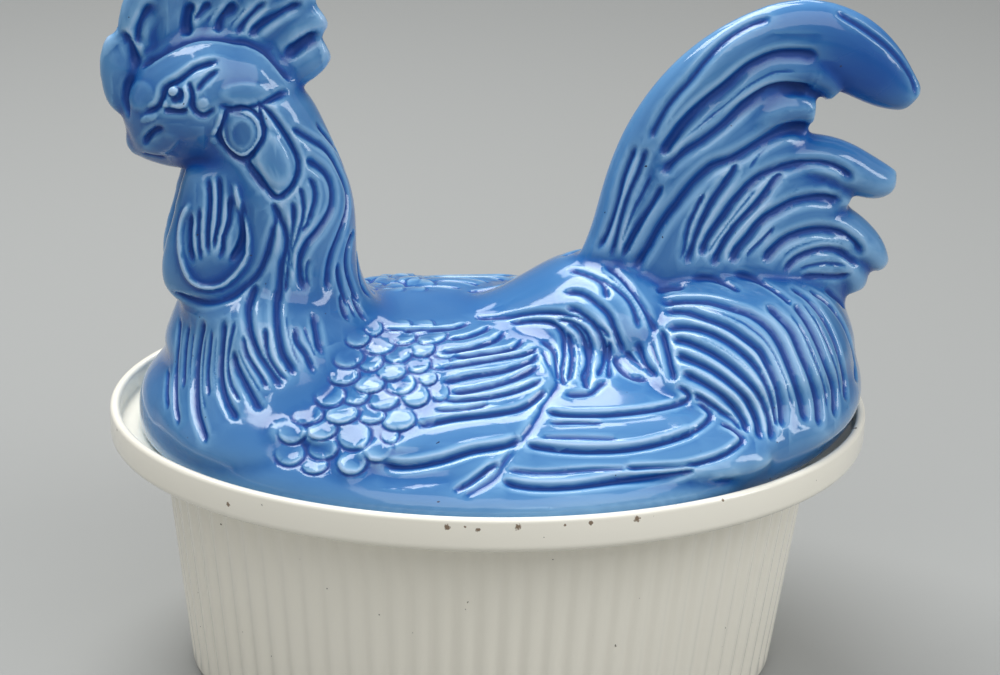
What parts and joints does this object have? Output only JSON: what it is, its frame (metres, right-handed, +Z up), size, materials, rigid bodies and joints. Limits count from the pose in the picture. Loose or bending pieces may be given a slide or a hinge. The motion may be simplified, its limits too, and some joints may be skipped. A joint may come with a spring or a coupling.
{
  "type": "soup tureen",
  "caption": "Oval fluted tureen bowl with a thick rim band and a hollow lift-off lid modelled as a sitting rooster.",
  "frame": {"origin": "centre of the bowl's flat foot, on the surface that the tureen stands on", "axes": "+Z up, +X along the oval's long axis toward the rooster's tail, +Y across it"},
  "size_m": [0.3353, 0.246, 0.3163],
  "materials": {
    "white_glaze": "gloss",
    "blue_glaze": "gloss"
  },
  "bodies": {
    "bowl": {"fluted_bowl": "white_glaze"},
    "lid": {"rooster_lid": "blue_glaze"}
  },
  "joints": [
    {"name": "lid_lift", "type": "slide", "parent": "bowl", "child": "lid", "axis": [0, 0, 1], "range_m": [0, 0.2]}
  ]
}
